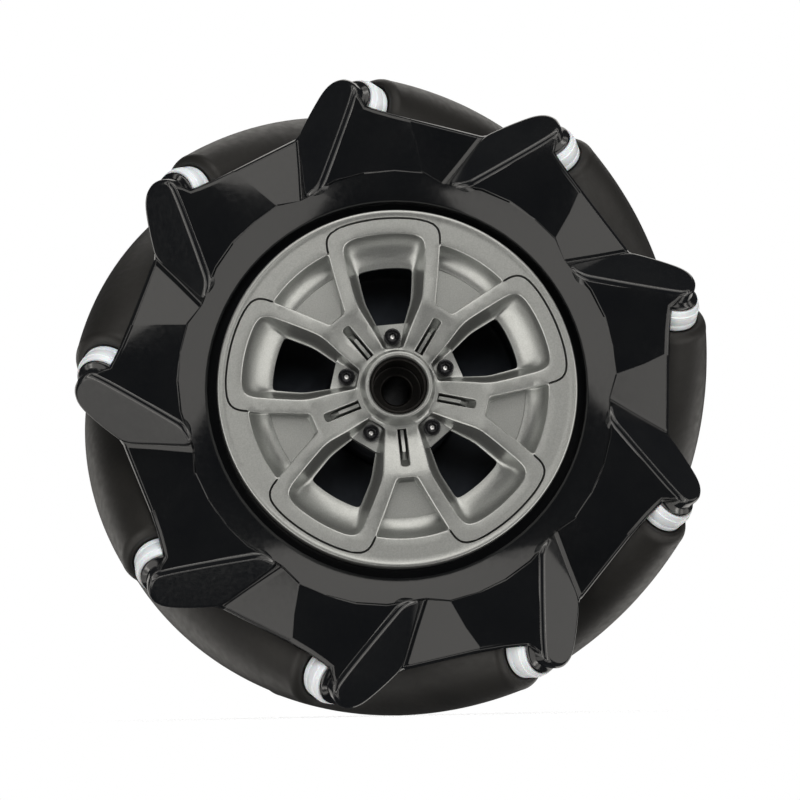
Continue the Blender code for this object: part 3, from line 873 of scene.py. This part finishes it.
def window(bm, centre):
    """An open window with the pad of a screw at its inner end.

    Returns the outline and vertices of its rim in front, and of its opening at the back.
    """
    top = outline(WINDOW_TOP, centre)
    foot = outline(WINDOW_FOOT, centre)
    rim, rings = lip_rings(bm, top, face_depth)
    on_pad = [p.length < PAD_REACH for p in foot]
    walls = wall_rings(
        bm, top, foot, WINDOW_LEVELS, WINDOW_DRIFT, WINDOW_DROP,
        lambda p: PAD_DEPTH if p.length < PAD_REACH else WINDOW_WALL_END,
    )
    join_rings(bm, rings + walls)
    last = walls[-1]
    pad = [v for v, there in zip(last, on_pad) if there]
    first = on_pad.index(True)
    count = len(pad)
    opening = [last[(first + count + i) % len(foot)] for i in range(len(foot) - count)]
    low = [bm.verts.new((v.co.x, -WINDOW_WALL_END, v.co.z)) for v in (pad[-1], pad[0])]
    bm.faces.new(pad)
    bm.faces.new((pad[0], low[1], low[0], pad[-1]))
    bm.faces.new((pad[0], opening[-1], low[1]))
    bm.faces.new((pad[-1], low[0], opening[0]))
    edge = opening + [low[1], low[0]]
    back = [bm.verts.new((v.co.x, -COVER_BACK, v.co.z)) for v in edge]
    join_rings(bm, [edge, back])
    return rim, rings[0], [Vector((v.co.x, v.co.z)) for v in back], back


def valley(bm, centre):
    """A closed hollow between two windows. Returns the outline and vertices of its rim."""
    top = outline(VALLEY_TOP, centre)
    foot = outline(VALLEY_FOOT, centre)
    rim, rings = lip_rings(bm, top, face_depth)
    wall_end = VALLEY_DEPTH + VALLEY_STEP
    walls = wall_rings(
        bm, top, foot, VALLEY_LEVELS, VALLEY_DRIFT, VALLEY_DROP, lambda p: wall_end,
    )
    ledge = ring_of(bm, widened(foot, -0.15 * MM), VALLEY_DEPTH)
    join_rings(bm, rings + walls + [ledge])
    bm.faces.new(ledge)
    return rim, rings[0]


def stem_slot(bm, centre):
    """The slot along a stem, with a rib in it. Returns the outline and vertices of its rim."""
    loop = slot_outline(centre, SLOT_SIDE, SLOT_REACH)
    rib = slot_outline(centre, RIB_SIDE, RIB_REACH)
    edge = widened(loop, 0.2 * MM)
    bottom = [a.lerp(b, 0.5) for a, b in zip(loop, rib)]
    rings = [ring_of(bm, edge, face_depth)]
    for line, down in (
        (loop, 0.15 * MM), (widened(loop, -0.1 * MM), 1.2 * MM), (bottom, SLOT_DEPTH),
        (widened(rib, 0.06 * MM), 1.2 * MM), (rib, 0.55 * MM),
    ):
        rings.append(ring_of(bm, line, lambda p, down=down: face_depth(p) - down))
    join_rings(bm, rings)
    bm.faces.new(rings[-1])
    return edge, rings[0]


def build_cover():
    """The cover: its holes first, then nose and rim, then the face and back between them."""
    bm = bmesh.new()
    holes, openings = [], []
    for k in range(SPOKES):
        rim, verts, back_loop, back = window(bm, WINDOW_ANGLE + SPOKE_PITCH * k)
        holes.append((rim, verts))
        openings.append((back_loop, back))
        holes.append(valley(bm, STEM_ANGLE + SPOKE_PITCH * k))
        holes.append(stem_slot(bm, STEM_ANGLE + SPOKE_PITCH * k))
    nose = [
        (FOOT_RADIUS, FOOT_DEPTH + 0.1 * MM),
        (FOOT_RADIUS - 0.15 * MM, 45.6 * MM),
        (FOOT_RADIUS - 0.25 * MM, 48.5 * MM),
        (FOOT_RADIUS - 0.40 * MM, 50.6 * MM),
        (FOOT_RADIUS - 0.60 * MM, 51.3 * MM),
        (FOOT_RADIUS - 1.15 * MM, 52.9 * MM),
        (FOOT_RADIUS - 1.45 * MM, HALF_WIDTH - 0.1 * MM),
        (FOOT_RADIUS - 1.75 * MM, HALF_WIDTH),
        (FOOT_RADIUS - 2.20 * MM, HALF_WIDTH - 0.05 * MM),
        (FOOT_RADIUS - 2.60 * MM, HALF_WIDTH - 0.40 * MM),
        (COVER_BORE, HALF_WIDTH - 1.0 * MM),
        (COVER_BORE, COVER_BACK),
    ]
    rings = [ring_of(bm, circle(r, COVER_SEGMENTS), d) for r, d in nose]
    join_rings(bm, rings)
    rim = [
        (COVER_RADIUS - 1.7 * MM, COVER_FACE),
        (COVER_RADIUS - 1.3 * MM, COVER_FACE + 0.20 * MM),
        (COVER_RADIUS - 0.8 * MM, COVER_FACE + 0.28 * MM),
        (COVER_RADIUS - 0.35 * MM, COVER_FACE + 0.10 * MM),
        (COVER_RADIUS - 0.08 * MM, COVER_FACE - 0.30 * MM),
        (COVER_RADIUS, COVER_FACE - 0.90 * MM),
        (COVER_RADIUS, COVER_BACK),
    ]
    outer = [ring_of(bm, circle(r, COVER_SEGMENTS), d) for r, d in rim]
    join_rings(bm, outer)
    paths = groove_paths()
    extra = []
    for path in paths:
        extra += [beside(path, -GROOVE_HALF), path, beside(path, GROOVE_HALF)]
    middle = np.array([tuple(p) for path in paths for p in path])

    def depth_at(spot):
        near = np.linalg.norm(middle - np.array(tuple(spot)), axis=1).min()
        cut = GROOVE_DEPTH if near < ON_PATH else 0.0
        return face_depth(spot) - cut

    grid = []
    for radius in FACE_ROWS:
        grid += circle(radius, int(2 * math.pi * radius / FACE_GAP))
    outer_rim = circle(rim[0][0], COVER_SEGMENTS)
    inner_rim = circle(FOOT_RADIUS, COVER_SEGMENTS)
    loops = [(outer_rim, outer[0]), (inner_rim, rings[0])] + holes
    sheet(bm, loops, [loop for loop, _ in holes] + [inner_rim], extra, depth_at, grid)
    back_loops = [
        (circle(COVER_RADIUS, COVER_SEGMENTS), outer[-1]),
        (circle(COVER_BORE, COVER_SEGMENTS), rings[-1]),
    ]
    sheet(bm, back_loops + openings, [], [], lambda spot: COVER_BACK, [])
    cover = to_object("cover_fine", bm, satin_silver(), smooth_angle=32)
    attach(cover, BODY)
    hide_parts("wheel_cover")
    return cover


# ---------------------------------------------------------------- drum, coupling and fasteners

SCREW_SEAT = 43.3 * MM                  # depth of the pads under the cover's screws
BOLT_SEAT = -43.3 * MM                  # depth of the rear plate under the long bolts' heads
SOCKET_SHARE = 0.52                     # a socket's corners as a share of the head's radius
HEAD_EDGE_SHARE = 0.14                  # the rounding around a head, likewise
SCREW_SEGMENTS = 48


def turned_piece(name, profile, segments, mat, node):
    """A part of the frame turned around the wheel's axle, in place of a CAD node."""
    bm = bmesh.new()
    lathe(bm, rounded_profile(profile, 4), segments, FORWARDS)
    piece = to_object(name, bm, mat)
    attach(piece, BODY)
    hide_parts(node)
    return piece


def build_drum():
    """The drum: a deep front recess around the boss, with a step at its rim."""
    profile = in_metres([
        (9.0, 38.0, 0), (20.2, 38.0, 0.5), (20.2, 24.0, 0.5), (21.0, 22.5, 0.5), (21.0, 6.0, 1.5),
        (42.0, 6.0, 1.5), (42.0, 30.0, 0.4), (43.2, 33.7, 0.4), (56.0, 33.7, 0.6),
        (56.0, 12.0, 0.3), (55.2, 11.2, 0.3), (55.2, -11.2, 0.3), (56.0, -12.0, 0.3),
        (56.0, -33.7, 0.6), (22.5, -33.7, 0.5), (22.5, -38.0, 0.5), (9.0, -38.0, 0),
    ])
    return turned_piece("drum_fine", profile, 144, drum_black(), "hub_body")


def build_coupling():
    """The shaft bush with its cup in front, and the stepped plate that closes the drum's back."""
    profile = in_metres([
        (4.4, -53.5, 0.5), (14.6, -53.5, 0.3), (16.0, -52.1, 0.3), (16.0, -43.0, 1.2),
        (24.0, -43.0, 0.5), (24.0, -41.8, 0.4), (42.0, -41.8, 0.4), (42.0, -43.0, 0.5),
        (52.8, -43.0, 0.4), (54.0, -41.8, 0.4), (54.0, -38.3, 0.2), (8.7, -38.3, 0),
        (8.7, 51.3, 0.3), (7.9, 51.3, 0.3), (7.9, 38.0, 0.6), (5.0, 38.0, 0.3), (4.4, 37.4, 0.2),
    ])
    mat = anodised()
    return turned_piece("coupling_fine", profile, 128, mat, "hub_coupling")


def socket_screw(name, mat, head_radius, head, shank_radius, shank):
    """A cap screw standing on local z = 0, with a chamfered hexagon socket."""
    steps = [2 * math.pi * j / SCREW_SEGMENTS for j in range(SCREW_SEGMENTS)]
    socket = SOCKET_SHARE * head_radius

    def ring(radius, z):
        return [(radius * math.cos(a), radius * math.sin(a), z) for a in steps]

    def hexagon(z, share=1.0):
        out = []
        for a in steps:
            local = (a + math.pi / 6) % (math.pi / 3) - math.pi / 6
            radius = share * socket * math.cos(math.pi / 6) / math.cos(local)
            out.append((radius * math.cos(a), radius * math.sin(a), z))
        return out

    edge = HEAD_EDGE_SHARE * head_radius
    rings = [
        ring(shank_radius * 0.8, -shank), ring(shank_radius, -shank + 0.3 * MM),
        ring(shank_radius, 0),
        ring(head_radius, 0), ring(head_radius, head - edge),
        ring(head_radius - 0.3 * edge, head - 0.3 * edge), ring(head_radius - edge, head),
        ring(socket * 1.12, head), hexagon(head - 0.12 * MM), hexagon(head - 0.55 * head),
        hexagon(head - 0.60 * head, 0.4), ring(0.12 * MM, head - 0.66 * head),
    ]
    bm = bmesh.new()
    rows = [[bm.verts.new(p) for p in points] for points in rings]
    join_rings(bm, rows)
    bm.faces.new(rows[0])
    bm.faces.new(rows[-1])
    return to_object(name, bm, mat, smooth_angle=28)


def build_fasteners():
    """Five screws on the cover's pads and five long bolts in the rear plate."""
    mat = black_steel()
    screw = socket_screw("screw", mat, 2.6 * MM, 2.6 * MM, 1.5 * MM, 13.0 * MM)
    bolt = socket_screw("bolt", mat, 3.4 * MM, 3.0 * MM, 2.0 * MM, 80.7 * MM)
    made = []
    for first, node, seat, turned_round in (
        (screw, "cover_screw", SCREW_SEAT, Matrix()), (bolt, "tie_bolt", BOLT_SEAT, HALF_TURN)
    ):
        for k in range(SPOKES):
            name = f"{node}_{k + 1}"
            low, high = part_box(name)
            middle = (low + high) / 2
            spot = Vector((middle.x, -seat, middle.z))
            matrix = Matrix.Translation(spot) @ turned_round @ FORWARDS
            piece = twin(first, f"{name}_fine", matrix)
            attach(piece, BODY)
            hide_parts(name)
            made.append(piece)
        bpy.data.objects.remove(first)
    return made


# ---------------------------------------------------------------- studio

STUDIO_DISTANCE = 1.6                   # of a lamp from the wheel's middle, in metres
WARM, COOL, COLD = (1.0, 0.97, 0.92), (0.85, 0.97, 1.1), (0.85, 0.95, 1.1)
STRIPS = 8
FLOOR_RADIUS = 0.13
FLOOR_FADE = (0.01, 0.12)               # the floor fades out between these radii
FLOOR_STRENGTH = 0.6                    # how solid it is in the middle
CAMERA_REACH = 8 * R
CAMERA_TURN = [math.radians(turn) for turn in (-2.7, -7.0, -1.1)]
CAMERA_AIM = (0.0036, 0.0024)           # what it looks at beside the middle, as shares of its reach
CAMERA_LENS = 110.6


def glow(colour, strength):
    """White surroundings for the camera, which light the wheel only with a given glow."""
    world = bpy.data.worlds.new("studio")
    world.use_nodes = True
    tree = world.node_tree
    tree.nodes.clear()
    out = tree.nodes.new("ShaderNodeOutputWorld")
    seen = tree.nodes.new("ShaderNodeBackground")
    preset(seen, Color=(1, 1, 1, 1), Strength=1.0)
    lit = tree.nodes.new("ShaderNodeBackground")
    preset(lit, Color=(*colour, 1), Strength=strength)
    mix = tree.nodes.new("ShaderNodeMixShader")
    path = tree.nodes.new("ShaderNodeLightPath")
    tree.links.new(path.outputs["Is Camera Ray"], mix.inputs["Fac"])
    tree.links.new(lit.outputs[0], mix.inputs[1])
    tree.links.new(seen.outputs[0], mix.inputs[2])
    tree.links.new(mix.outputs[0], out.inputs[0])
    bpy.context.scene.world = world


def softbox(
    name, off, around, size, radiance, distance=STUDIO_DISTANCE, colour=WARM, front=True
):
    """A soft panel at an angle off the wheel's axle; its size runs around and along that angle."""
    a, o = math.radians(around), math.radians(off)
    side = Vector((-math.sin(a), 0.0, math.cos(a)))
    way = Vector((math.sin(o) * math.cos(a), -math.cos(o), math.sin(o) * math.sin(a)))
    if not front:
        way.y = -way.y
    lamp = bpy.data.lights.new(name, "AREA")
    lamp.shape = "RECTANGLE"
    lamp.size, lamp.size_y = size
    lamp.energy = radiance * math.pi * size[0] * size[1]
    lamp.color = colour
    obj = bpy.data.objects.new(name, lamp)
    bpy.context.collection.objects.link(obj)
    obj.matrix_world = Matrix((side, way.cross(side), way)).transposed().to_4x4()
    obj.location = way * distance
    obj.visible_camera = False
    return obj


def only_on(lamp, pieces):
    """Keeps a lamp's light to a few pieces, as black cards beside it would in a studio."""
    group = bpy.data.collections.new(lamp.name + "_reach")
    for piece in pieces:
        group.objects.link(piece)
    lamp.light_linking.receiver_collection = group


def build_studio(shells, tips, cover, cores, drum, backs):
    """Large panels for broad reflections, thin strips for edges, and keys for a few pieces."""
    glow((0.95, 0.97, 1.0), 0.05)
    softbox("panel_right", 48, 341, (1.75, 1.25), 1.7)
    softbox("panel_top", 48, 84, (1.45, 1.25), 1.8)
    softbox("panel_left", 48, 208, (1.90, 1.25), 1.8)
    for k in range(STRIPS):
        around = 360 / STRIPS * k
        only_on(softbox(f"rim_{k}", 77, around, (1.25, 0.24), 2.1), [*shells, *tips, cover])
        between = around + 180 / STRIPS
        only_on(softbox(f"crease_{k}", 61, between, (1.25, 0.20), 3.6), tips)
    only_on(softbox("cover_key", 14, 110, (0.9, 0.9), 0.70), [cover])
    only_on(softbox("collar_key", 34, 90, (1.2, 1.2), 1.0, colour=COOL), cores)
    only_on(softbox("drum_key", 20, 90, (0.9, 0.9), 2.5, colour=COLD), [drum])
    softbox("edge_left", 92, 228, (0.6, 0.8), 1.2)
    softbox("edge_right", 92, 2, (0.5, 0.8), 1.2)
    fill = softbox("fill", 25, 80, (1.2, 1.2), 2.0, distance=2.2)
    fill.visible_glossy = False
    only_on(softbox("rear_key", 36, 100, (1.0, 1.0), 1.5, front=False), backs)
    softbox("rear_top", 50, 80, (1.5, 1.0), 1.6, front=False)
    softbox("rear_left", 50, 195, (1.5, 1.0), 1.6, front=False)
    softbox("rear_right", 50, 325, (1.3, 1.0), 1.6, front=False)
    floor()


def floor():
    """A pale round floor that fades out into the white surroundings."""
    mat = bpy.data.materials.new("pale_floor")
    mat.use_nodes = True
    tree = mat.node_tree
    shader = tree.nodes["Principled BSDF"]
    preset(shader, Base_Color=(0.93, 0.93, 0.93, 1), Roughness=0.9)
    preset(shader, Emission_Color=(1, 1, 1, 1), Emission_Strength=0.65)
    place = tree.nodes.new("ShaderNodeTexCoord")
    length = tree.nodes.new("ShaderNodeVectorMath")
    length.operation = "LENGTH"
    fade = tree.nodes.new("ShaderNodeMapRange")
    fade.interpolation_type = "SMOOTHSTEP"
    preset(fade, From_Min=FLOOR_FADE[0], From_Max=FLOOR_FADE[1], To_Min=FLOOR_STRENGTH, To_Max=0.0)
    tree.links.new(place.outputs["Object"], length.inputs[0])
    tree.links.new(length.outputs["Value"], fade.inputs["Value"])
    tree.links.new(fade.outputs["Result"], shader.inputs["Alpha"])
    bm = bmesh.new()
    bmesh.ops.create_circle(bm, cap_ends=True, radius=FLOOR_RADIUS, segments=96)
    mesh = bpy.data.meshes.new("floor")
    bm.to_mesh(mesh)
    bm.free()
    mesh.materials.append(mat)
    obj = bpy.data.objects.new("floor", mesh)
    obj.location.z = -R
    obj.visible_glossy = False
    bpy.context.collection.objects.link(obj)


def build_camera():
    """In front of the wheel, low down and looking slightly up, level but for a little roll."""
    data = bpy.data.cameras.new("camera")
    data.sensor_width = 36.0
    data.lens = CAMERA_LENS
    data.clip_start = 0.05
    camera = bpy.data.objects.new("camera", data)
    bpy.context.collection.objects.link(camera)
    azimuth, elevation, roll = CAMERA_TURN
    back = Vector((
        math.sin(azimuth) * math.cos(elevation),
        -math.cos(azimuth) * math.cos(elevation),
        math.sin(elevation),
    ))
    turn = back.to_track_quat("Z", "Y").to_matrix() @ Matrix.Rotation(roll, 3, "Z")
    aim = turn @ Vector((*CAMERA_AIM, 0)) * CAMERA_REACH
    camera.location = back * CAMERA_REACH
    way = (aim - camera.location).normalized()
    turn = (-way).to_track_quat("Z", "Y").to_matrix() @ Matrix.Rotation(roll, 3, "Z")
    camera.rotation_euler = turn.to_euler()
    bpy.context.scene.camera = camera


def build_view():
    """Plain colours, without a film look."""
    scene = bpy.context.scene
    scene.view_settings.view_transform = "Standard"
    scene.view_settings.look = "None"


core_pieces = build_rollers()
shell_pieces, tip_pieces = build_shells()
cover_piece = build_cover()
drum_piece = build_drum()
coupling_piece = build_coupling()
screw_pieces = build_fasteners()
back_pieces = [coupling_piece, *screw_pieces]
build_studio(shell_pieces, tip_pieces, cover_piece, core_pieces, drum_piece, back_pieces)
build_camera()
build_view()
